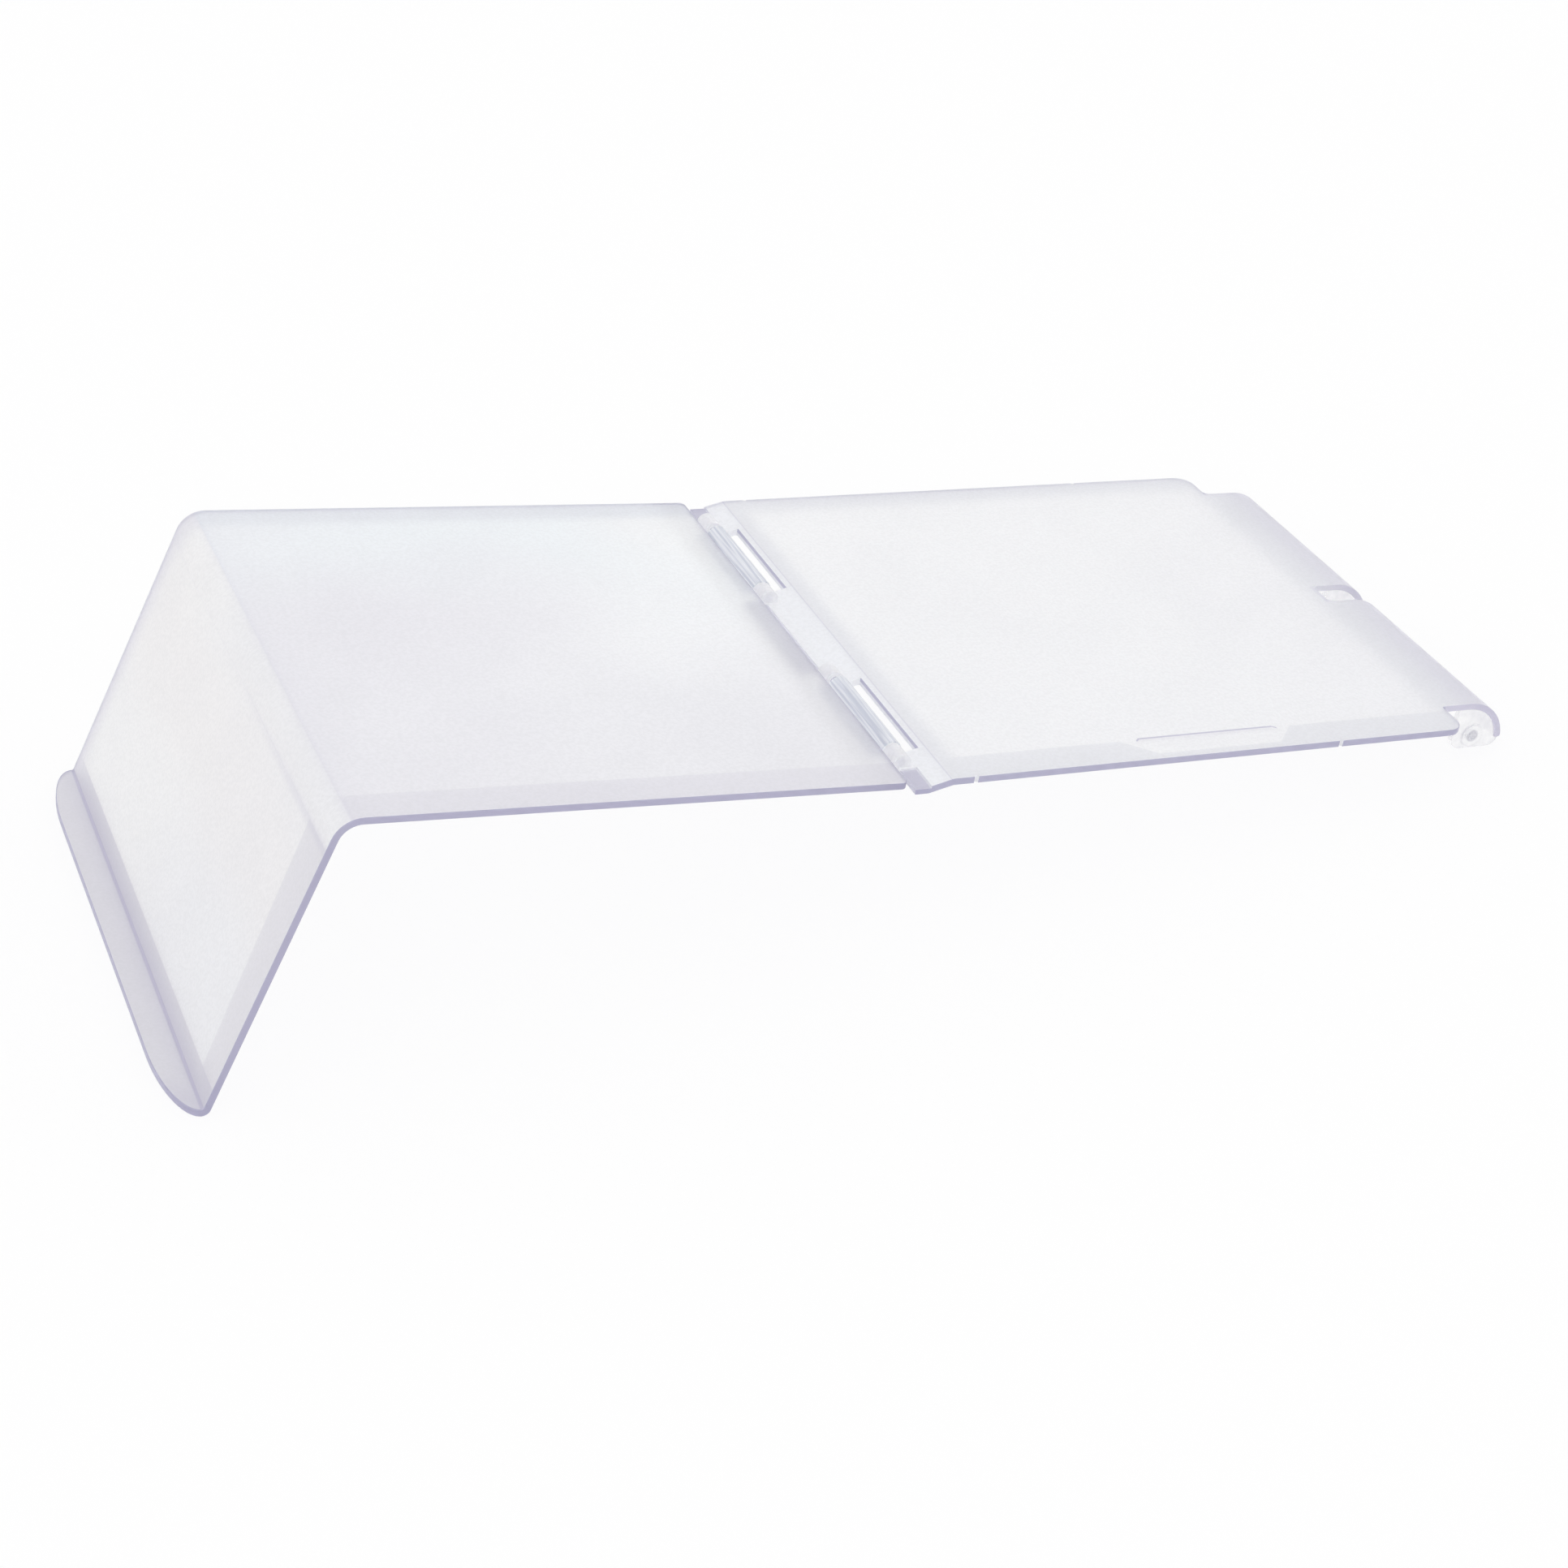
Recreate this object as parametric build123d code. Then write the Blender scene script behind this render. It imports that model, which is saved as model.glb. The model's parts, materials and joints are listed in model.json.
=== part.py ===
from build123d import *
import math
import os

# Folding sneeze guard for a food bin: a rear cover that hangs on a bar by its
# rolled rear rim, and a bent front guard that hinges up and back over it.
#
# Frame: +X runs from the front lip to the rear rim, +Y across the width, +Z up.
# Every piece is first drawn in a flat frame whose origin is the hinge axis, at
# the middle of the sheet's thickness.  The two halves are then tilted about that
# axis into the stance in which the guard stands on a table, on its front lip and
# its rear lugs.  The part's origin is the middle of the bottom of its box.

# ---- Sheets ------------------------------------------------------------------
WIDTH = 276.0                # across both sheets
SHEET = 3.3                  # wall thickness
HALF_WIDTH = WIDTH / 2
HALF_SHEET = SHEET / 2

# ---- Stance ------------------------------------------------------------------
FRONT_TILT = 11.5            # front top panel falls this much towards the hinge
REAR_TILT = 9.4              # rear cover falls this much towards its rim
FOLD = FRONT_TILT - REAR_TILT

# ---- Front guard -------------------------------------------------------------
FRONT_EDGE_X = -5.5          # rear edge of the front top panel
TOP_PANEL_LENGTH = 258.8     # along the middle of the sheet, up to the bend
SLOPE_LENGTH = 149.7         # face between the bend and the lip
SLOPE_LEAN = 17.4            # outward lean of that face from square
LIP_LENGTH = 15.7
BEND_RADIUS = 12.4           # at the middle of the sheet
LIP_BEND_RADIUS = 2.5
LIP_END_LENGTH = 45.0        # length of the lip's rounded-off ends
CORNER_RADIUS = 3.0

# ---- Rear cover --------------------------------------------------------------
STRIP_FRONT_X = -1.2         # front edge of the lowered hinge strip
STRIP_DROP = 3.2             # strip lies this much below the main panel
RAMP_START_X = 5.5
RAMP_END_X = 17.5
RAMP_RADIUS = 5.0
RIM_START_X = 317.6          # where the panel starts to roll down
RIM_RADIUS = 25.0            # outer radius of the rolled rim
RIM_TURN = 80.0
NOTCH_X = 300.0              # rear edge of the full-width part
RIM_HALF_SPAN = 117.0        # the rim stops short of the sides
NOTCH_CORNER_RADIUS = 9.0
NOTCH_INNER_RADIUS = 3.0
SLIT_HALF_WIDTH = 8.0        # gap between the two halves of the rim
SLIT_FRONT_X = 303.0
PAD_START_Y = 121.5          # shallow pads at the ends of the hinge strip
PAD_LENGTH = 8.0
PAD_DEPTH = 0.8
SIDE_NOTCH_X = (29.0, 226.5)  # small round nicks in the side edges
SIDE_NOTCH_RADIUS = 1.2

# ---- Hinge -------------------------------------------------------------------
WINDOW_INNER_Y = 45.0
WINDOW_OUTER_Y = 108.5
WINDOW_REAR_X = 13.3
CHEEK_RADIUS = 4.6           # rounded bosses beside each window, around the pin
CHEEK_INNER_Y = 35.0
CHEEK_OUTER_Y = 120.0
PIN_RADIUS = 2.5
PIN_INNER_Y = 37.0
PIN_OUTER_Y = 117.5
PIN_CHAMFER = 0.4
RUNNING_GAP = 0.05           # radial, pin in clip
SEAT_GAP = 0.02              # radial, pin in cheek
BOND_GAP = 0.05              # bonding film between glued faces
CLIP_RADIUS = 5.0
CLIP_LENGTH = 59.5
CLIP_SIDE_GAP = 0.3          # to the cheek it slides against
CLIP_MOUTH_ANGLE = 100.0     # open side that presses over the pin
CLIP_MOUTH_CENTRE = -45.0
LEAF_FRONT_X = -10.5
LEAF_BOTTOM_Z = -4.6
LEDGE_FRONT_X = -13.5        # ledge under the front panel, the hinge's stop
LEDGE_HALF_SPAN = 34.0
STOP_GAP = 0.5

# ---- Lugs in the rolled rim --------------------------------------------------
LUG_THICKNESS = 3.2
LUG_FRONT_X = 313.5
LUG_REAR_X = 342.2
LUG_BOTTOM_Z = -25.0
LUG_CORNER_RADIUS = 6.0
LUG_OUTER_Y = 115.5          # outward face of the outer lugs
LUG_INNER_Y = 9.5            # face of the inner lugs beside the slit
EYE_X = 324.7
EYE_Z = -17.6
EYE_RADIUS = 2.5
EYE_BOSS_RADIUS = 6.0
EYE_BOSS_HEIGHT = 1.2

# ---- Finish ------------------------------------------------------------------
EDGE_RADIUS = 0.4            # softened edges of both sheets
CUT_MARGIN = 1.0             # how far cutting solids run past the sheet
NEAR = -1                    # side of the hinge at -Y
FAR = 1


def slab(outline, y_low, y_high):
    """Solid from an outline drawn in the XZ plane, between two Y values."""
    face = Plane.XZ * outline
    return Pos(0, y_high, 0) * extrude(face, amount=y_high - y_low)


def block(x_low, x_high, y_low, y_high, z_low, z_high):
    """Box given by its lowest and highest corners."""
    size = (x_high - x_low, y_high - y_low, z_high - z_low)
    middle = ((x_low + x_high) / 2, (y_low + y_high) / 2, (z_low + z_high) / 2)
    return Pos(*middle) * Box(*size)


def upright(outline):
    """Tall cutting solid from an outline drawn in plan, past both faces of a sheet."""
    return Pos(0, 0, -60) * extrude(outline, amount=120)


def rectangle(x_low, x_high, y_low, y_high):
    """Flat rectangle from its lowest and highest corners."""
    return Pos((x_low + x_high) / 2, (y_low + y_high) / 2) * Rectangle(x_high - x_low, y_high - y_low)


def sheet_along(path):
    """Full-width sheet whose middle follows a path drawn in the XZ plane."""
    return slab(trace(path, line_width=SHEET), -HALF_WIDTH, HALF_WIDTH)


# ---- Front guard -------------------------------------------------------------
def bend_point():
    return FRONT_EDGE_X - TOP_PANEL_LENGTH, 0.0


def lip_point():
    lean = math.radians(SLOPE_LEAN)
    bend_x, bend_z = bend_point()
    return bend_x - SLOPE_LENGTH * math.sin(lean), bend_z - SLOPE_LENGTH * math.cos(lean)


def make_front_guard():
    """Top panel, bend, sloping face and outward lip, from one sheet."""
    lip_x, lip_z = lip_point()
    corners = [(FRONT_EDGE_X, 0), bend_point(), (lip_x, lip_z), (lip_x - LIP_LENGTH, lip_z)]
    path = FilletPolyline(*corners, radius=[BEND_RADIUS, LIP_BEND_RADIUS])
    guard = sheet_along(path)
    for side in (NEAR, FAR):
        guard -= lip_end_cutter(side)
    rear_corners = guard.edges().filter_by(Axis.Z).group_by(Axis.X)[-1]
    guard = fillet(rear_corners, CORNER_RADIUS)
    return fillet(guard.edges(), EDGE_RADIUS)


def lip_end_cutter(side):
    """Material outside the long quarter-ellipse that rounds one end of the lip."""
    crease_x = lip_point()[0] - HALF_SHEET
    reach = LIP_LENGTH - HALF_SHEET
    centre_y = side * (HALF_WIDTH - LIP_END_LENGTH)
    end_y = side * (HALF_WIDTH + CUT_MARGIN)
    zone = rectangle(crease_x - reach - CUT_MARGIN, crease_x, min(centre_y, end_y), max(centre_y, end_y))
    zone -= Pos(crease_x, centre_y) * Ellipse(reach, LIP_END_LENGTH)
    lip_z = lip_point()[1]
    return Pos(0, 0, lip_z - 2 * SHEET) * extrude(zone, amount=4 * SHEET)


# ---- Rear cover --------------------------------------------------------------
def rim_centre_z():
    return HALF_SHEET - RIM_RADIUS


def make_rear_cover():
    """Hinge strip, ramp, main panel and rolled rim, with the hinge's cheeks."""
    panel_path = FilletPolyline(
        (STRIP_FRONT_X, -STRIP_DROP),
        (RAMP_START_X, -STRIP_DROP),
        (RAMP_END_X, 0),
        (RIM_START_X, 0),
        radius=RAMP_RADIUS,
    )
    rim_path = CenterArc((RIM_START_X, rim_centre_z()), RIM_RADIUS - HALF_SHEET, 90, -RIM_TURN)
    cover = sheet_along(panel_path) + sheet_along(rim_path)
    cover -= upright(rim_cuts())
    cover = soften_notch_corners(cover)
    cover = fillet(cover.edges(), EDGE_RADIUS)
    for side in (NEAR, FAR):
        cover -= window_cutter(side)
        cover -= pad_cutter(side)
        for x in SIDE_NOTCH_X:
            cover -= Pos(x, side * HALF_WIDTH, 0) * Cylinder(SIDE_NOTCH_RADIUS, 4 * SHEET)
    cover += stop_ledge()
    for side in (NEAR, FAR):
        for y_low, y_high in ((CHEEK_INNER_Y, WINDOW_INNER_Y), (WINDOW_OUTER_Y, CHEEK_OUTER_Y)):
            cover += cheek(side, y_low, y_high)
        cover -= pin_cylinder(side, PIN_RADIUS + SEAT_GAP, SEAT_GAP)
    return cover


def rim_cuts():
    """Plan outline of what is missing at the rear: two side notches and a slit."""
    rear_x = RIM_START_X + RIM_RADIUS + CUT_MARGIN
    outer_y = HALF_WIDTH + CUT_MARGIN
    slit = rectangle(SLIT_FRONT_X, rear_x, -SLIT_HALF_WIDTH, SLIT_HALF_WIDTH)
    slit = fillet(slit.vertices().group_by(Axis.X)[0], NOTCH_INNER_RADIUS)
    cuts = [slit]
    for side in (NEAR, FAR):
        y_values = sorted((side * RIM_HALF_SPAN, side * outer_y))
        notch = rectangle(NOTCH_X, rear_x, *y_values)
        inner = notch.vertices().group_by(Axis.X)[0].sort_by(Axis.Y)[0 if side == FAR else -1]
        cuts.append(fillet(inner, NOTCH_INNER_RADIUS))
    return Sketch() + cuts


def soften_notch_corners(cover):
    """Round the two rear corners of the full-width part."""
    corners = cover.edges().filter_by(Axis.Z).filter_by(
        lambda edge: abs(edge.center().X - NOTCH_X) < 0.1 and abs(edge.center().Y) > HALF_WIDTH - 0.1
    )
    return fillet(corners, NOTCH_CORNER_RADIUS)


def window_cutter(side):
    """Opening in the strip where a clip turns, open at its front."""
    y_values = sorted((side * WINDOW_INNER_Y, side * WINDOW_OUTER_Y))
    outline = rectangle(STRIP_FRONT_X - CUT_MARGIN, WINDOW_REAR_X, *y_values)
    outline = fillet(outline.vertices().group_by(Axis.X)[-1], 1.0)
    return upright(outline)


def pad_cutter(side):
    """Shallow recess that leaves a thinner pad at one end of the strip."""
    y_values = sorted((side * PAD_START_Y, side * (HALF_WIDTH + CUT_MARGIN)))
    top = HALF_SHEET - STRIP_DROP
    return block(STRIP_FRONT_X - CUT_MARGIN, STRIP_FRONT_X + PAD_LENGTH, *y_values, top - PAD_DEPTH, top + 0.4)


def stop_ledge():
    """Shelf under the rear edge of the front panel, parallel to it at rest."""
    rise = math.tan(math.radians(FOLD))
    top_rear = -HALF_SHEET - STOP_GAP
    top_front = top_rear - LEDGE_FRONT_X * rise
    rear_x = RAMP_START_X - 1.0
    outline = Polyline(
        (rear_x, top_rear),
        (LEDGE_FRONT_X, top_front),
        (LEDGE_FRONT_X, top_front - SHEET),
        (STRIP_FRONT_X, -STRIP_DROP - HALF_SHEET),
        (rear_x, -STRIP_DROP - HALF_SHEET),
        close=True,
    )
    return slab(make_face(outline), -LEDGE_HALF_SPAN, LEDGE_HALF_SPAN)


def cheek(side, y_low, y_high):
    """Rounded boss on the strip that holds one end of a pin."""
    y_values = sorted((side * y_low, side * y_high))
    bottom = -STRIP_DROP - HALF_SHEET
    foot = rectangle(-CHEEK_RADIUS, CHEEK_RADIUS, bottom, 0)
    outline = Circle(CHEEK_RADIUS) + foot
    return slab(outline, *y_values)


# ---- Hinge pins and clips ----------------------------------------------------
def pin_cylinder(side, radius, extra_length):
    length = PIN_OUTER_Y - PIN_INNER_Y + 2 * extra_length
    middle = side * (PIN_OUTER_Y + PIN_INNER_Y) / 2
    return Pos(0, middle, 0) * Rot(90, 0, 0) * Cylinder(radius, length)


def make_hinge_pin(side):
    """Plain rod held by a cheek at each end."""
    pin = pin_cylinder(side, PIN_RADIUS, 0)
    return chamfer(pin.edges().filter_by(GeomType.CIRCLE), PIN_CHAMFER)


def make_hinge_clip(side):
    """Push-on barrel with a leaf that is bonded under the front panel."""
    leaf_top = -HALF_SHEET - BOND_GAP
    outline = Circle(CLIP_RADIUS) + rectangle(LEAF_FRONT_X, 0, LEAF_BOTTOM_Z, leaf_top)
    outline -= Circle(PIN_RADIUS + RUNNING_GAP)
    outline -= clip_mouth()
    near_end = WINDOW_INNER_Y if side == FAR else -WINDOW_OUTER_Y
    start_y = near_end + CLIP_SIDE_GAP
    return slab(outline, start_y, start_y + CLIP_LENGTH)


def clip_mouth():
    """Wedge that opens the barrel so that it can press over the pin."""
    reach = 2 * CLIP_RADIUS
    half = math.radians(CLIP_MOUTH_ANGLE / 2)
    centre = math.radians(CLIP_MOUTH_CENTRE)
    points = [(0, 0)]
    for angle in (centre - half, centre, centre + half):
        points.append((reach * math.cos(angle), reach * math.sin(angle)))
    return make_face(Polyline(*points, close=True))


# ---- Lugs --------------------------------------------------------------------
def lug_outline():
    """Web that fills the hollow of the rolled rim and closes its lower end."""
    top_z = -HALF_SHEET - BOND_GAP
    inside = rectangle(LUG_FRONT_X, LUG_REAR_X, LUG_BOTTOM_Z, top_z)
    bottom_corners = inside.vertices().group_by(Axis.Y)[0]
    inside = fillet(bottom_corners, LUG_CORNER_RADIUS)
    centre = Pos(RIM_START_X, rim_centre_z())
    past_rim = RIM_RADIUS + 2 * CUT_MARGIN
    lower_end = math.radians(90 - RIM_TURN)
    flange_z = rim_centre_z() + (RIM_RADIUS - SHEET) * math.sin(lower_end) - BOND_GAP
    outside = rectangle(RIM_START_X, RIM_START_X + past_rim, flange_z, HALF_SHEET)
    outside -= centre * Circle(RIM_RADIUS - SHEET - BOND_GAP)
    return inside - outside


def make_pivot_lug(face_y, outward):
    """Lug with an eye and a raised ring on the face that looks outward."""
    plate = sorted((face_y, face_y - outward * LUG_THICKNESS))
    ring = sorted((face_y, face_y + outward * EYE_BOSS_HEIGHT))
    bore = (plate[0] - 2 * CUT_MARGIN, plate[1] + 2 * CUT_MARGIN)
    eye_centre = Pos(EYE_X, EYE_Z)
    lug = slab(lug_outline(), *plate)
    lug += slab(eye_centre * Circle(EYE_BOSS_RADIUS), *ring)
    return lug - slab(eye_centre * Circle(EYE_RADIUS), *bore)


# ---- Stance and output -------------------------------------------------------
def tilted(piece, angle):
    return Rot(0, angle, 0) * piece


front_pieces = {
    "front_guard": make_front_guard(),
    "hinge_clip_near": make_hinge_clip(NEAR),
    "hinge_clip_far": make_hinge_clip(FAR),
}
rear_pieces = {
    "rear_cover": make_rear_cover(),
    "hinge_pin_near": make_hinge_pin(NEAR),
    "hinge_pin_far": make_hinge_pin(FAR),
    "pivot_lug_near_outer": make_pivot_lug(-LUG_OUTER_Y, NEAR),
    "pivot_lug_near_inner": make_pivot_lug(-LUG_INNER_Y, FAR),
    "pivot_lug_far_inner": make_pivot_lug(LUG_INNER_Y, NEAR),
    "pivot_lug_far_outer": make_pivot_lug(LUG_OUTER_Y, FAR),
}

pieces = {name: tilted(piece, FRONT_TILT) for name, piece in front_pieces.items()}
pieces.update({name: tilted(piece, REAR_TILT) for name, piece in rear_pieces.items()})

boxes = [piece.bounding_box() for piece in pieces.values()]
low_x = min(box.min.X for box in boxes)
high_x = max(box.max.X for box in boxes)
low_z = min(box.min.Z for box in boxes)
high_z = max(box.max.Z for box in boxes)
hinge_x = -(low_x + high_x) / 2
hinge_z = -low_z
print(f"size {high_x - low_x:.2f} x {WIDTH:.2f} x {high_z - low_z:.2f} mm")
print(f"hinge axis at x {hinge_x:.3f}, z {hinge_z:.3f}")
eye = (Pos(hinge_x, 0, hinge_z) * Rot(0, REAR_TILT, 0) * Pos(EYE_X, 0, EYE_Z)).position
print(f"lug eye axis at x {eye.X:.3f}, z {eye.Z:.3f}")

os.makedirs("parts", exist_ok=True)
for name, piece in pieces.items():
    placed = Pos(hinge_x, 0, hinge_z) * piece
    export_step(placed, f"parts/{name}.step")
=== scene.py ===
import json
import math

import bpy
from mathutils import Matrix, Vector


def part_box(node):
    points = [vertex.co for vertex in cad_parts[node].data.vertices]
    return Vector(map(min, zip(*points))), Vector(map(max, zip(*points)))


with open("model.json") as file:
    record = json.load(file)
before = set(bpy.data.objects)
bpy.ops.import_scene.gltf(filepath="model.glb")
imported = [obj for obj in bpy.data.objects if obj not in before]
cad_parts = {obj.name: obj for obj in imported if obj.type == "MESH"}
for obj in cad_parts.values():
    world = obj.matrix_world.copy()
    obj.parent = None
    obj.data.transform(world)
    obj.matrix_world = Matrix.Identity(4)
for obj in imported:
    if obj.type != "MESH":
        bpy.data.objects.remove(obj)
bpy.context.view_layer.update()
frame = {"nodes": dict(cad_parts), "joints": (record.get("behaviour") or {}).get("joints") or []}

MM = 0.001

# ---- Places on the guard: millimetres and degrees ------------------------------
FRONT_TILT = 11.5           # fall of the front top panel towards the hinge
REAR_TILT = 9.4             # fall of the rear cover towards its rim
SLOPE_TURN = 107.4          # turn from the top panel's +X to the way down the slope
BEND_X = -264.3             # sharp corner of the bend, from the hinge axis
HALF_WIDTH = (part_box("front_guard")[1].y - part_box("front_guard")[0].y) / 2 / MM
HINGE = Vector(frame["joints"][0]["pos_m"])

# ---- Finish of the sheets ------------------------------------------------------
MARGIN = 17.5               # polished border beside the frosted fields
SLOPE_MARGIN_TOP = 25.0     # the slope's border narrows from bend to lip
SLOPE_MARGIN_LIP = 18.0
SLOPE_FIELD = (14.5, 138.0)
CREASE = (148.4, 1.65)      # inner corner of the lip: down the slope, and outward
LIP_CENTRE = (-310.7, 93.0)  # of the ellipse that rounds each end of the lip
LIP_REACH = (14.05, 45.0)
LIP_OUT = 2.4               # outward of this is lip, not slope
REAR_FIELD_X = (24.5, 296.0)
RAMP_LINE_X = 16.4
PLAQUE_WIDE_X = (112.5, 207.5)
PLAQUE_NARROW_X = (127.5, 194.5)
PLAQUE_REACH = 13.0         # how far the plaque runs into the border
RULE_X = (121.5, 199.5)
RULE_INSET = 18.2
RULE_SLANT = 2.0            # length of the slanted stretch at each end

# ---- Places on the rear cover that take another tone, some of it painted shade ---
CHEEK_INNER_Y = (35.0, 45.0)
CHEEK_OUTER_Y = (108.5, 120.0)
PAD_X = 6.8                 # pads at the ends of the hinge strip
PAD_Y = 121.5
# The ledge under the front panel is darkened: painted shade.
LEDGE_Y = 34.0
WINDOW_X = 13.3
WINDOW_Y = (45.0, 108.5)
WALL_LINE_Z = -1.0          # darker line along the top of each window's rear wall
RIM_CUT_X = 300.5
RIM_Y = 117.0
SLIT_Y = 8.0
EYE = (324.7, -17.6)        # middle of the lugs' eyes, along and up from the hinge axis
EYE_SHADE = 3.3             # radius of the greyer middle, painted shade in the eye's hole
EYE_RING = (5.6, 6.5)

# ---- Camera --------------------------------------------------------------------
CAMERA_PLACE = (-0.45056, -1.0669, 0.80184)
CAMERA_AZIMUTH = math.radians(-22.853)
CAMERA_ELEVATION = math.radians(34.905)
CAMERA_ROLL = math.radians(-0.151)
CAMERA_LENS = 65.07
CAMERA_SENSOR = 36.0

# ---- Studio --------------------------------------------------------------------
SKY_STRENGTH = 0.99
SOFTBOX_STRENGTH = 0.12
SOFTBOX_TURN = (math.radians(10), math.radians(-20), 0)
SOFTBOX_SPREAD = math.radians(60)
FLOOR_SIZE = 12.0
FLOOR_DROP = 0.5            # millimetres, clear of the faces that the guard stands on
FLOOR_WHITE = (0.97, 0.97, 0.97, 1)


def make_camera():
    az, el = CAMERA_AZIMUTH, CAMERA_ELEVATION
    forward = Vector((-math.sin(az) * math.cos(el), math.cos(az) * math.cos(el), -math.sin(el)))
    right = Vector((math.cos(az), math.sin(az), 0))
    up = right.cross(forward)
    c, s = math.cos(CAMERA_ROLL), math.sin(CAMERA_ROLL)
    right, up = c * right + s * up, c * up - s * right
    data = bpy.data.cameras.new("camera")
    data.lens = CAMERA_LENS
    data.sensor_width = CAMERA_SENSOR
    camera = bpy.data.objects.new("camera", data)
    bpy.context.scene.collection.objects.link(camera)
    turn = Matrix((right, up, -forward)).transposed().to_4x4()
    camera.matrix_world = Matrix.Translation(CAMERA_PLACE) @ turn
    bpy.context.scene.camera = camera


def make_studio():
    world = bpy.data.worlds.new("sky")
    bpy.context.scene.world = world
    world.use_nodes = True
    sky = world.node_tree.nodes["Background"]
    sky.inputs["Color"].default_value = (1, 1, 1, 1)
    sky.inputs["Strength"].default_value = SKY_STRENGTH
    data = bpy.data.lights.new("softbox", "SUN")
    data.energy = SOFTBOX_STRENGTH
    data.angle = SOFTBOX_SPREAD
    softbox = bpy.data.objects.new("softbox", data)
    softbox.rotation_euler = SOFTBOX_TURN
    bpy.context.scene.collection.objects.link(softbox)
    bpy.ops.mesh.primitive_plane_add(size=FLOOR_SIZE, location=(0, 0, -FLOOR_DROP * MM))
    floor = bpy.context.object
    floor.name = "floor"
    material = bpy.data.materials.new("pale_floor")
    material.use_nodes = True
    shader = material.node_tree.nodes["Principled BSDF"]
    shader.inputs["Base Color"].default_value = FLOOR_WHITE
    shader.inputs["Roughness"].default_value = 0.9
    floor.data.materials.append(material)
    bpy.context.scene.view_settings.view_transform = "Standard"


# ---- Small node language -------------------------------------------------------
IOR = 1.585                 # of polycarbonate


class Graph:
    """Short names for the nodes that the materials are built from."""

    def __init__(self, name):
        self.material = bpy.data.materials.new(name)
        self.material.use_nodes = True
        self.tree = self.material.node_tree
        self.shader = self.tree.nodes["Principled BSDF"]
        self.place = self.tree.nodes.new("ShaderNodeTexCoord").outputs["Object"]

    def put(self, socket, value):
        if isinstance(value, bpy.types.NodeSocket):
            self.tree.links.new(value, socket)
        else:
            socket.default_value = value

    def math(self, operation, a, b=0.0, c=0.0):
        node = self.tree.nodes.new("ShaderNodeMath")
        node.operation = operation
        for socket, value in zip(node.inputs, (a, b, c)):
            self.put(socket, value)
        return node.outputs[0]

    def plus(self, a, b):
        return self.math("ADD", a, b)

    def minus(self, a, b):
        return self.math("SUBTRACT", a, b)

    def times(self, a, b):
        return self.math("MULTIPLY", a, b)

    def over(self, a, b):
        return self.math("DIVIDE", a, b)

    def past(self, value, edge):
        """How far a value is above an edge, and 0 below it."""
        return self.math("MAXIMUM", self.minus(value, edge), 0.0)

    def length(self, a, b):
        return self.math("SQRT", self.plus(self.times(a, a), self.times(b, b)))

    def local(self, origin, turn):
        """X, Y and Z in millimetres from an origin, turned about Y by an angle in degrees."""
        node = self.tree.nodes.new("ShaderNodeMapping")
        node.vector_type = "TEXTURE"
        self.put(node.inputs["Vector"], self.place)
        node.inputs["Location"].default_value = origin
        node.inputs["Rotation"].default_value = (0, math.radians(turn), 0)
        node.inputs["Scale"].default_value = (MM, MM, MM)
        split = self.tree.nodes.new("ShaderNodeSeparateXYZ")
        self.put(split.inputs[0], node.outputs[0])
        return split.outputs

    def step(self, value, edge, soft=0.3):
        """0 below an edge and 1 above it. The edge may be a socket."""
        away = self.minus(value, edge)
        node = self.tree.nodes.new("ShaderNodeMapRange")
        node.interpolation_type = "SMOOTHSTEP"
        self.put(node.inputs["Value"], away)
        node.inputs["From Min"].default_value = -soft
        node.inputs["From Max"].default_value = soft
        return node.outputs[0]

    def between(self, value, low, high, soft=0.3):
        return self.times(self.step(value, low, soft), self.flip(self.step(value, high, soft)))

    def flip(self, value):
        return self.minus(1.0, value)

    def every(self, *masks):
        result = masks[0]
        for mask in masks[1:]:
            result = self.times(result, mask)
        return result

    def some(self, *masks):
        result = masks[0]
        for mask in masks[1:]:
            result = self.math("MAXIMUM", result, mask)
        return result

    def blend(self, factor, low, high):
        """A number from low to high as the factor goes from 0 to 1."""
        node = self.tree.nodes.new("ShaderNodeMix")
        self.put(node.inputs[0], factor)
        self.put(node.inputs[2], low)
        self.put(node.inputs[3], high)
        return node.outputs[0]

    def tint(self, factor, low, high):
        """A colour from low to high as the factor goes from 0 to 1."""
        node = self.tree.nodes.new("ShaderNodeMix")
        node.data_type = "RGBA"
        self.put(node.inputs[0], factor)
        for socket, value in ((node.inputs[6], low), (node.inputs[7], high)):
            self.put(socket, value if isinstance(value, bpy.types.NodeSocket) else (*value, 1))
        return node.outputs[2]

    def noise(self, scale, detail=2.0, stretch=(1, 1, 1), shift=0.0):
        mapping = self.tree.nodes.new("ShaderNodeMapping")
        self.put(mapping.inputs["Vector"], self.place)
        mapping.inputs["Scale"].default_value = stretch
        mapping.inputs["Location"].default_value = (shift, shift, shift)
        node = self.tree.nodes.new("ShaderNodeTexNoise")
        self.put(node.inputs["Vector"], mapping.outputs[0])
        node.inputs["Scale"].default_value = scale
        node.inputs["Detail"].default_value = detail
        return node.outputs[0]

    def bump(self, height, distance, strength=1.0):
        node = self.tree.nodes.new("ShaderNodeBump")
        self.put(node.inputs["Height"], height)
        node.inputs["Distance"].default_value = distance
        node.inputs["Strength"].default_value = strength
        self.put(self.shader.inputs["Normal"], node.outputs[0])

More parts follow.
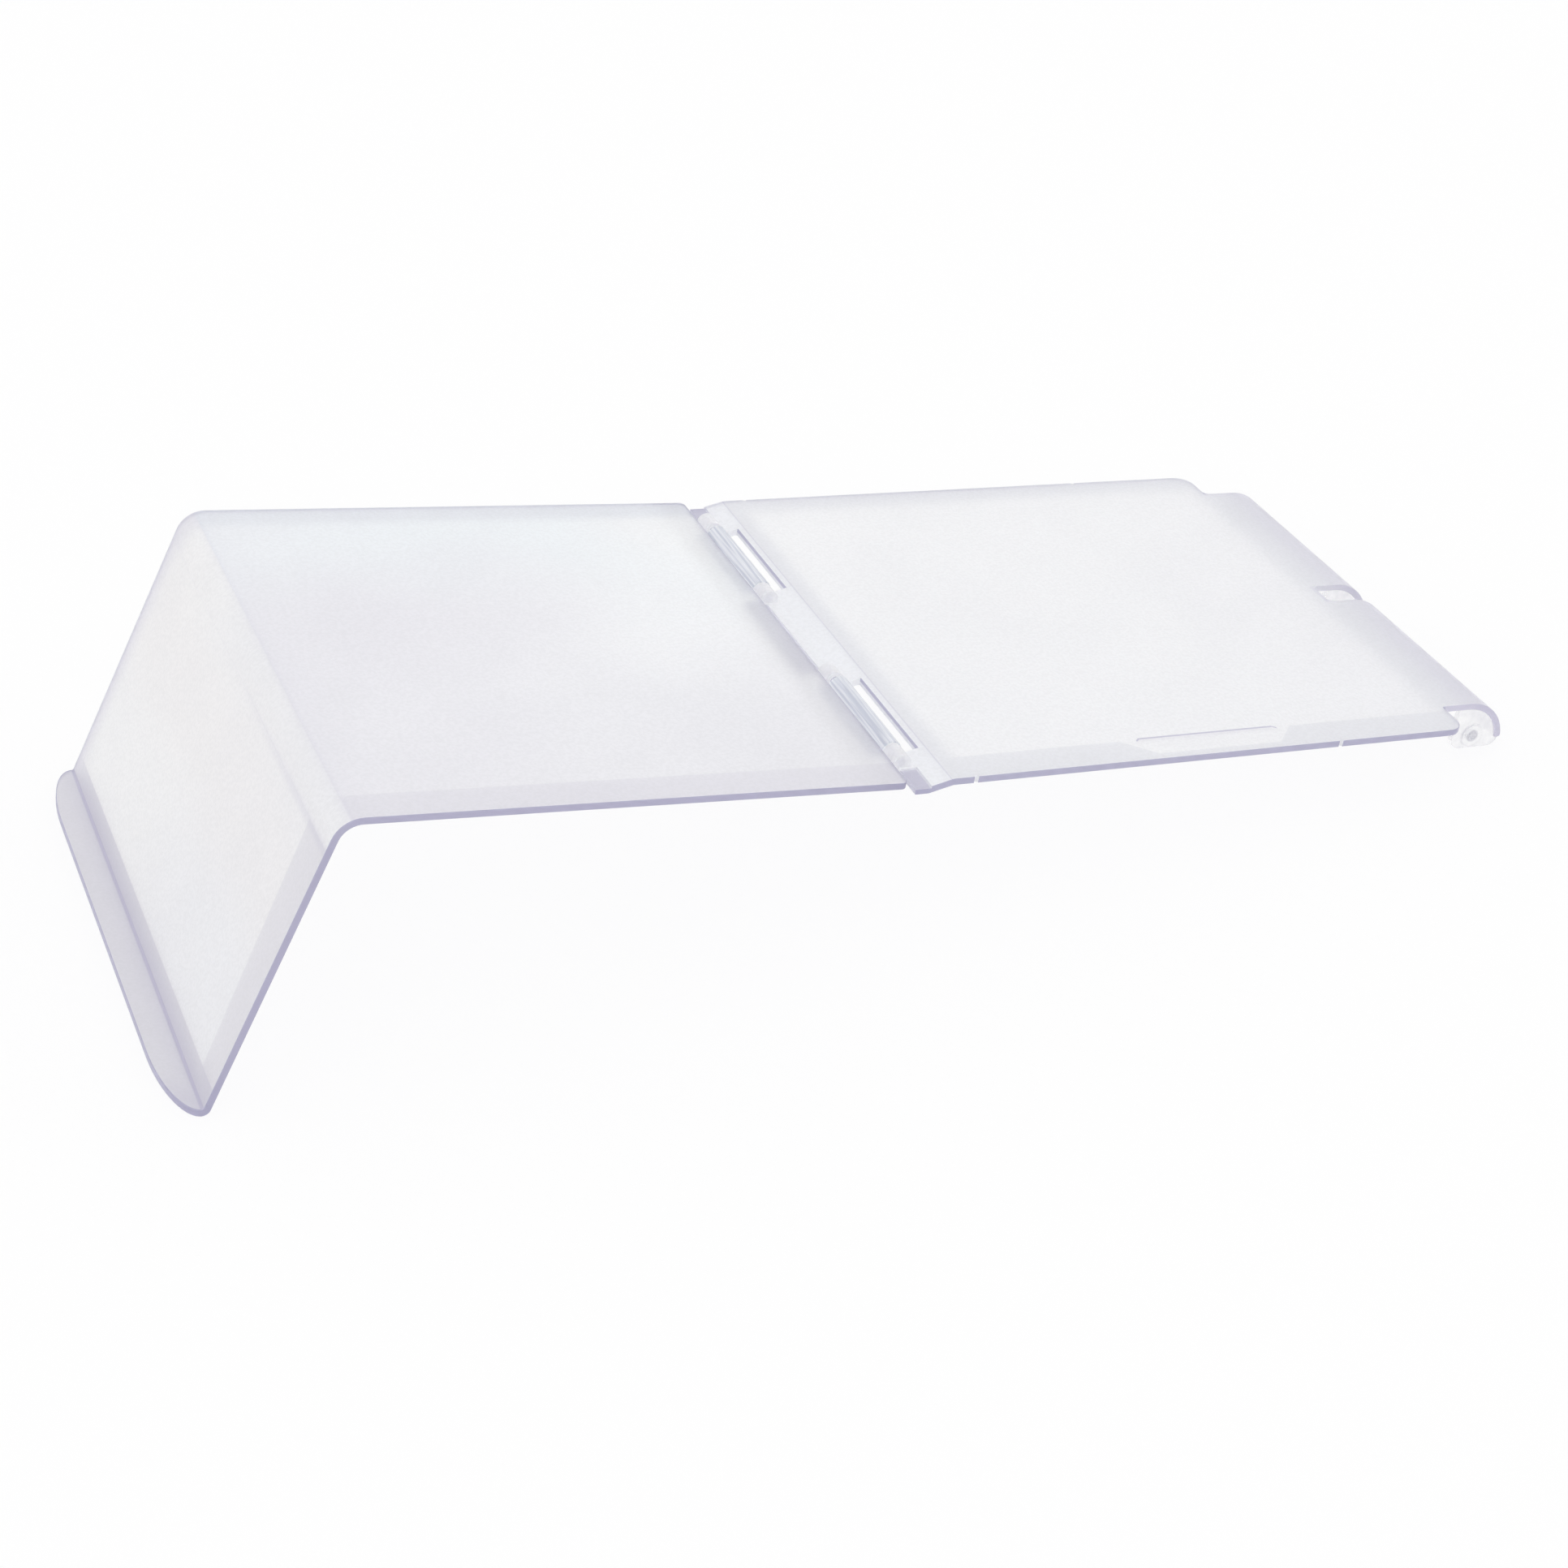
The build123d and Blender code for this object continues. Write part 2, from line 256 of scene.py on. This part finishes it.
    def finish(self, absorb, density, shade):
        """Clear plastic that tints light by its thickness and lets the light on to the floor."""
        path = self.tree.nodes.new("ShaderNodeLightPath")
        rays = path.outputs
        passing = self.math("MAXIMUM", rays["Is Shadow Ray"], rays["Is Diffuse Ray"])
        open_way = self.tree.nodes.new("ShaderNodeBsdfTransparent")
        open_way.inputs["Color"].default_value = shade
        both = self.tree.nodes.new("ShaderNodeMixShader")
        self.put(both.inputs[0], passing)
        self.put(both.inputs[1], self.shader.outputs[0])
        self.put(both.inputs[2], open_way.outputs[0])
        volume = self.tree.nodes.new("ShaderNodeVolumeAbsorption")
        volume.inputs["Color"].default_value = absorb
        volume.inputs["Density"].default_value = density
        output = self.tree.nodes["Material Output"]
        self.put(output.inputs["Surface"], both.outputs[0])
        self.put(output.inputs["Volume"], volume.outputs[0])
        self.shader.inputs["IOR"].default_value = IOR
        return self.material


# ---- Plastics ------------------------------------------------------------------
LILAC = (0.72, 0.70, 0.83, 1)
FROST = (0.978, 0.985, 0.998)
# The front top's tones below shift slowly: in part the plastic's own tint, in part painted shade
# on the near side and in the lilac corner, and painted sheen on the cool, paler far side.
FROST_NEAR = (0.894, 0.892, 0.921)
FROST_LILAC = (0.882, 0.875, 0.914)
FROST_COOL = (0.937, 0.980, 0.998)
FROST_PALE = (0.985, 0.989, 0.996)
# The rear field's tones below: darker on the near side, in part the plastic's own tint and in part
# painted shade.
FROST_REAR = (0.957, 0.960, 0.974)
FROST_REAR_FAR = (0.967, 0.970, 0.980)
# The slope's frost tones below are darker copies of the top's: painted shade on the slope, with a
# slow warm shift of tone.
SLOPE_FAR_SHADED = (0.940, 0.938, 0.940)
SLOPE_NEAR_SHADED = (0.898, 0.900, 0.920)
SLOPE_WARM = (0.922, 0.898, 0.896)
# The border tones below: the polished border, darker on the near side, in part by painted shade.
BORDER_NEAR = (0.815, 0.806, 0.856)
BORDER_FAR = (0.832, 0.855, 0.896)
# The slope's border tones below are darker copies of the top's border: painted shade on the slope.
BORDER_SLOPE_SHADED = (0.785, 0.776, 0.818)
BORDER_SLOPE_FAR_SHADED = (0.840, 0.832, 0.872)
BORDER_REAR = (0.846, 0.853, 0.887)
# The border colour towards the rolled rim is darker: painted shade.
BORDER_RIM_SHADED = (0.815, 0.800, 0.885)
STRIP = (0.918, 0.928, 0.958)
CHEEK = (0.935, 0.935, 0.955)
LIP = (0.755, 0.745, 0.790)
# GREY_LILAC is the colour of painted shade, and of the darker lines and pads.
GREY_LILAC = (0.46, 0.44, 0.59)
EDGE = (0.39, 0.375, 0.54)
CUT_FACE = (0.64, 0.62, 0.75)
CLOUD = (0.55, 0.55, 0.62)
GRAIN = (0.62, 0.62, 0.64)
CLIP = (0.915, 0.93, 0.96)
# The streak colours paint reflections of the clips' and pins' rounded faces.
CLIP_STREAK = (0.56, 0.59, 0.68)
PIN = (0.66, 0.66, 0.76)
PIN_STREAK = (0.5, 0.5, 0.62)
LUG = (0.96, 0.96, 0.965)
LUG_MOTTLE = (0.91, 0.91, 0.925)
# The lugs' eyes take painted shade in this grey.
EYE_SHADOW_GREY = (0.42, 0.42, 0.50)
SHADE = (0.993, 0.993, 0.995, 1)
WANDER = 160.0              # millimetres by which a tint's edge may stray


def frosted_sheet(graph, field, frost, border, edge, cut, dark, clear):
    """Frosted field and border, lavender side edges, paler cut faces, darkened by dark, which
    holds painted shade as well as darker lines and pads.
    """
    grain = graph.noise(650.0, 2.0)
    cloud = graph.noise(26.0, 3.0, shift=1.3)
    colour = graph.tint(field, border, frost)
    colour = graph.tint(graph.times(graph.step(cloud, 0.5, 0.2), 0.045), colour, CLOUD)
    colour = graph.tint(graph.times(graph.step(grain, 0.5, 0.14), 0.20), colour, GRAIN)
    # Painted shade, with the darker lines and pads, goes in here as grey lilac.
    colour = graph.tint(dark, colour, GREY_LILAC)
    colour = graph.tint(cut, colour, CUT_FACE)
    colour = graph.tint(edge, colour, EDGE)
    shader = graph.shader.inputs
    graph.put(shader["Base Color"], colour)
    passing = graph.blend(clear, 0.60, 0.88)
    graph.put(shader["Transmission Weight"], graph.blend(graph.some(edge, cut), passing, 0.45))
    rough = graph.blend(field, 0.31, 0.34)
    graph.put(shader["Roughness"], graph.plus(rough, graph.times(grain, 0.06)))
    graph.bump(graph.times(grain, graph.blend(field, 0.5, 1.0)), 0.05 * MM, 0.6)
    return graph.finish(LILAC, 8.0, SHADE)


def wander(graph):
    """A slow, irregular offset in millimetres that loosens the edges of the tints."""
    return graph.times(graph.minus(graph.noise(7.0, 1.0), 0.5), WANDER)


def rounded(graph, x, corner_x, y, corner_y):
    """Distance out from a corner's centre, or from the straight lines that run on from it."""
    return graph.length(graph.past(x, corner_x), graph.past(y, corner_y))


def front_sheet():
    graph = Graph("frosted_front_guard")
    u, y, _ = graph.local(HINGE, FRONT_TILT)
    tilt = math.radians(FRONT_TILT)
    bend = HINGE + BEND_X * MM * Vector((math.cos(tilt), 0, -math.sin(tilt)))
    s, _, inward = graph.local(bend, FRONT_TILT + SLOPE_TURN)
    outward = graph.times(inward, -1.0)
    side = graph.math("ABSOLUTE", y)
    on_top = graph.step(u, BEND_X + 3.5, 0.6)
    on_slope = graph.flip(on_top)
    near_side = graph.times(y, -1.0)
    top = graph.every(
        on_top,
        graph.flip(graph.step(near_side, HALF_WIDTH - MARGIN, 0.5)),
        graph.flip(graph.step(y, HALF_WIDTH - MARGIN + 2.0, 6.0)),
    )
    slope_start, slope_end = SLOPE_FIELD
    down = graph.over(graph.minus(s, slope_start), slope_end - slope_start)
    slope_margin = graph.blend(down, SLOPE_MARGIN_TOP, SLOPE_MARGIN_LIP)
    slope_side = graph.minus(HALF_WIDTH, slope_margin)
    slope = graph.every(
        graph.between(s, *SLOPE_FIELD, 0.5),
        graph.flip(graph.step(near_side, slope_side, 0.6)),
        graph.flip(graph.step(y, HALF_WIDTH - 9.0, 8.0)),
    )
    band = graph.flip(graph.some(
        graph.step(s, slope_start, 0.6),
        graph.step(y, HALF_WIDTH - 14.0, 9.0),
    ))
    field = graph.some(top, graph.every(on_slope, graph.some(slope, band)))

    # Slow shifts of tone over the top field: in part the plastic's own tint, in part painted shade
    # on the near side and in the lilac corner, and painted sheen on the cool, paler far side.
    wave = wander(graph)
    along = graph.plus(u, wave)
    across = graph.plus(y, wave)
    frost = graph.tint(graph.step(across, -45.0, 90.0), FROST_NEAR, FROST)
    corner = graph.minus(along, graph.times(y, 0.5))
    frost = graph.tint(graph.step(corner, -150.0, 90.0), FROST_LILAC, frost)
    off_bend = graph.blend(graph.step(along, BEND_X + 45.0, 40.0), 0.45, 0.8)
    frost = graph.tint(graph.times(graph.step(across, 50.0, 60.0), off_bend), frost, FROST_COOL)
    pale = graph.every(graph.step(across, 60.0, 60.0), graph.step(along, -60.0, 50.0))
    frost = graph.tint(graph.times(pale, 0.8), frost, FROST_PALE)
    # The slope takes darker, shaded copies of the top's tones: painted shade, with a slow warm
    # shift.
    slope_shaded_frost = graph.tint(graph.step(across, 10.0, 70.0), SLOPE_NEAR_SHADED, SLOPE_FAR_SHADED)
    warm = graph.between(graph.plus(s, graph.times(wave, 0.4)), 15.0, 85.0, 25.0)
    slope_shaded_frost = graph.tint(graph.times(warm, 0.5), slope_shaded_frost, SLOPE_WARM)
    frost = graph.tint(on_slope, frost, slope_shaded_frost)

    on_lip = graph.step(outward, LIP_OUT, 0.5)
    past_field = graph.every(on_slope, graph.step(s, slope_end, 0.4))
    # The border is darker on the near side, in part by painted shade.
    border = graph.tint(graph.step(y, 0.0, 60.0), BORDER_NEAR, BORDER_FAR)
    # The slope's border is a darker, shaded copy of the top's: painted shade.
    slope_shaded_border = graph.tint(graph.step(y, 0.0, 60.0), BORDER_SLOPE_SHADED, BORDER_SLOPE_FAR_SHADED)
    border = graph.tint(on_slope, border, slope_shaded_border)
    far_fade = graph.flip(graph.step(y, HALF_WIDTH - 16.0, 16.0))
    lip_tone = graph.every(past_field, graph.some(on_lip, graph.blend(far_fade, 0.3, 1.0)))
    border = graph.tint(lip_tone, border, LIP)
    # Painted shade on the border before the crease, growing towards it.
    to_crease = graph.times(graph.minus(s, slope_end), 0.030)
    before = graph.every(past_field, graph.flip(on_lip), graph.plus(to_crease, 0.07))
    before = graph.times(before, graph.blend(far_fade, 0.35, 1.0))
    tip = graph.every(past_field, graph.step(near_side, HALF_WIDTH - 20.0, 14.0))
    tip = graph.times(tip, 0.26)
    # Painted shade in the crease at the lip's inner corner.
    off_crease = graph.length(graph.minus(s, CREASE[0]), graph.minus(outward, CREASE[1]))
    crease_shade = graph.flip(graph.step(off_crease, 1.1, 0.7))
    crease_shade = graph.times(graph.every(crease_shade, on_slope), 0.85)
    # Painted shade on the lip, darkest by the crease.
    lip_fall = graph.flip(graph.step(outward, 5.0, 6.0))
    lip_shade = graph.every(past_field, on_lip, graph.blend(lip_fall, 0.02, 0.20))
    line = graph.every(on_slope, graph.between(s, slope_start - 1.0, slope_start + 3.0, 2.0))
    fade = graph.flip(graph.step(graph.plus(y, HALF_WIDTH), 95.0, 75.0))
    line = graph.times(graph.every(line, fade), 0.21)
    # Painted shade along the bend and on the top beside it.
    bend_shade = graph.times(graph.between(u, BEND_X + 2.6, BEND_X + 5.0, 1.5), 0.11)
    bend_side_shade = graph.every(on_top, graph.flip(graph.step(u, BEND_X + 12.0, 14.0)))
    bend_side_shade = graph.times(bend_side_shade, 0.04)
    # dark gathers the painted shade by the crease, on the lip and along the bend, with the darker
    # near tip of the lip and a soft darker line where the slope's field starts.
    dark = graph.some(before, crease_shade, lip_shade, tip, line, bend_shade, bend_side_shade)
    sides = graph.step(rounded(graph, u, -8.5, side, HALF_WIDTH - 3.0), 2.65, 0.1)
    out = graph.over(graph.minus(LIP_CENTRE[0], u), LIP_REACH[0])
    past = graph.over(graph.minus(side, LIP_CENTRE[1]), LIP_REACH[1])
    lip_round = graph.step(rounded(graph, out, 0.0, past, 0.0), 0.98, 0.008)
    rim = graph.every(lip_round, graph.step(outward, LIP_OUT, 0.3), past_field)
    near_hinge = graph.step(u, -23.0, 5.0)
    edge = graph.some(sides, rim)
    return frosted_sheet(graph, field, frost, border, edge, 0.0, dark, near_hinge)


def plaque_mask(graph, u, inset):
    """The frosted trapezoid that runs from the field into the near border."""
    reach = graph.over(graph.minus(MARGIN, inset), PLAQUE_REACH)
    left = graph.blend(reach, PLAQUE_WIDE_X[0], PLAQUE_NARROW_X[0])
    right = graph.blend(reach, PLAQUE_WIDE_X[1], PLAQUE_NARROW_X[1])
    across = graph.between(inset, MARGIN - PLAQUE_REACH, MARGIN + 1.0)
    return graph.every(across, graph.step(u, left), graph.flip(graph.step(u, right)))


def rule_mask(graph, u, inset):
    """The thin rule above the plaque, with its short slanted ends."""
    past_end = graph.past(u, RULE_X[1] - RULE_SLANT)
    before = graph.past(RULE_X[0] + RULE_SLANT, u)
    fall = graph.plus(graph.times(past_end, 0.8), graph.times(before, 0.8))
    off = graph.math("ABSOLUTE", graph.minus(graph.plus(inset, fall), RULE_INSET))
    return graph.every(graph.flip(graph.step(off, 0.6, 0.15)), graph.between(u, *RULE_X))


def rear_sheet():
    graph = Graph("frosted_rear_cover")
    u, y, up = graph.local(HINGE, REAR_TILT)
    side = graph.math("ABSOLUTE", y)
    inset = graph.plus(y, HALF_WIDTH)
    field = graph.every(
        graph.step(u, REAR_FIELD_X[0] + 0.5, 5.5),
        graph.flip(graph.step(u, REAR_FIELD_X[1], 9.0)),
        graph.step(inset, MARGIN, 0.5),
        graph.flip(graph.step(y, HALF_WIDTH - MARGIN + 4.0, 9.0)),
    )
    field = graph.some(field, plaque_mask(graph, u, inset))

    # Slow shifts of tone over the rear field: darker on the near side and lilac towards the rolled
    # rim, in part the plastic's own tint and in part painted shade.
    wave = wander(graph)
    frost = graph.tint(graph.step(graph.plus(y, wave), -50.0, 90.0), FROST_REAR, FROST_REAR_FAR)
    rearward = graph.step(graph.plus(u, wave), 280.0, 60.0)
    frost = graph.tint(graph.times(rearward, 0.35), frost, FROST_LILAC)

    pad = graph.every(graph.step(side, PAD_Y), graph.flip(graph.step(u, PAD_X)))
    # The ledge that runs under the front panel: its darkening is painted shade, seen through the
    # panel.
    ledge = graph.every(graph.flip(graph.step(side, LEDGE_Y)), graph.flip(graph.step(u, -1.2)))
    dark = graph.some(
        graph.times(graph.between(u, RAMP_LINE_X - 0.3, RAMP_LINE_X + 0.3, 0.2), 0.40),
        graph.times(rule_mask(graph, u, inset), 0.9),
        # painted shade, darker towards the rolled rim
        graph.times(graph.step(u, 328.0, 22.0), 0.40),
        graph.times(pad, 0.70),
        # painted shade on the ledge under the front panel
        graph.times(ledge, 0.52),
    )
    on_strip = graph.flip(graph.step(u, RAMP_LINE_X))
    # The border darkens towards the rolled rim: painted shade.
    border = graph.tint(graph.step(u, 322.0, 24.0), BORDER_REAR, BORDER_RIM_SHADED)
    border = graph.tint(on_strip, border, STRIP)
    at_cheek = graph.some(graph.between(side, *CHEEK_INNER_Y), graph.between(side, *CHEEK_OUTER_Y))
    border = graph.tint(graph.every(at_cheek, graph.flip(graph.step(u, 5.0))), border, CHEEK)

    at_window = graph.between(side, *WINDOW_Y)
    window_wall = graph.every(at_window, graph.between(u, WINDOW_X - 0.3, WINDOW_X + 0.25, 0.1))
    outline = graph.step(rounded(graph, u, RIM_CUT_X - 9.5, side, HALF_WIDTH - 9.0), 8.65, 0.1)
    outline = graph.every(outline, graph.step(side, RIM_Y + 0.3, 0.1))
    wall_tone = graph.blend(graph.step(up, WALL_LINE_Z, 0.2), 0.35, 1.0)
    edge = graph.some(outline, graph.times(window_wall, wall_tone))
    in_rim = graph.step(u, RIM_CUT_X)
    cut = graph.every(in_rim, graph.some(
        graph.step(side, RIM_Y - 0.35, 0.1),
        graph.times(graph.flip(graph.step(side, SLIT_Y + 0.35, 0.1)), 0.35),
    ))
    clear = graph.times(in_rim, 0.3)
    return frosted_sheet(graph, field, frost, border, edge, cut, dark, clear)


def clear_moulding(name, colour, streak, streaks, clear, rough, density):
    """Clear moulded plastic with fine streaks along the width, which paint reflections of its
    rounded faces.
    """
    graph = Graph(name)
    # Streaks along the width: painted reflections of the rounded faces, also used for the bumps.
    reflection_streaks = graph.noise(50.0, 3.0, stretch=(18, 0.4, 18))
    mottle = graph.noise(240.0, 2.0)
    tone = graph.tint(graph.times(graph.step(reflection_streaks, 0.5, 0.14), streaks), colour, streak)
    shader = graph.shader.inputs
    graph.put(shader["Base Color"], tone)
    graph.put(shader["Transmission Weight"], graph.blend(mottle, clear - 0.08, clear + 0.08))
    graph.put(shader["Roughness"], graph.blend(mottle, rough, rough * 1.4))
    graph.bump(graph.plus(reflection_streaks, graph.times(mottle, 0.2)), 0.08 * MM, 0.4)
    return graph.finish(LILAC, density, SHADE)


def lug_moulding():
    """Colourless plastic, a little greyer in and around the eye's hole: painted shade."""
    graph = Graph("pivot_lug_plastic")
    u, _, w = graph.local(HINGE, REAR_TILT)
    away = graph.length(graph.minus(u, EYE[0]), graph.minus(w, EYE[1]))
    # Painted shade in the middle of the eye and on a ring around it.
    eye_shade_mask = graph.some(
        graph.flip(graph.step(away, EYE_SHADE, 0.5)),
        graph.times(graph.between(away, *EYE_RING, 0.4), 0.3),
    )
    mottle = graph.noise(240.0, 2.0)
    tone = graph.tint(graph.step(mottle, 0.5, 0.25), LUG, LUG_MOTTLE)
    tone = graph.tint(graph.times(eye_shade_mask, 0.6), tone, EYE_SHADOW_GREY)
    shader = graph.shader.inputs
    graph.put(shader["Base Color"], tone)
    graph.put(shader["Transmission Weight"], graph.blend(mottle, 0.40, 0.60))
    graph.put(shader["Roughness"], graph.blend(mottle, 0.14, 0.32))
    graph.bump(mottle, 0.12 * MM, 0.4)
    return graph.finish(LILAC, 4.0, SHADE)


def dress(nodes):
    clip = clear_moulding(
        "hinge_clip_plastic", CLIP, CLIP_STREAK, streaks=0.9, clear=0.5, rough=0.30, density=6.0)
    pin = clear_moulding(
        "hinge_pin_plastic", PIN, PIN_STREAK, streaks=0.6, clear=0.5, rough=0.12, density=20.0)
    lug = lug_moulding()
    finishes = {
        "front_guard": front_sheet(),
        "rear_cover": rear_sheet(),
    }
    for name, piece in nodes.items():
        finish = finishes.get(name)
        if name.startswith("hinge_clip"):
            finish = clip
        elif name.startswith("hinge_pin"):
            finish = pin
        elif name.startswith("pivot_lug"):
            finish = lug
        piece.data.materials.clear()
        piece.data.materials.append(finish)


make_camera()
make_studio()
dress(frame["nodes"])
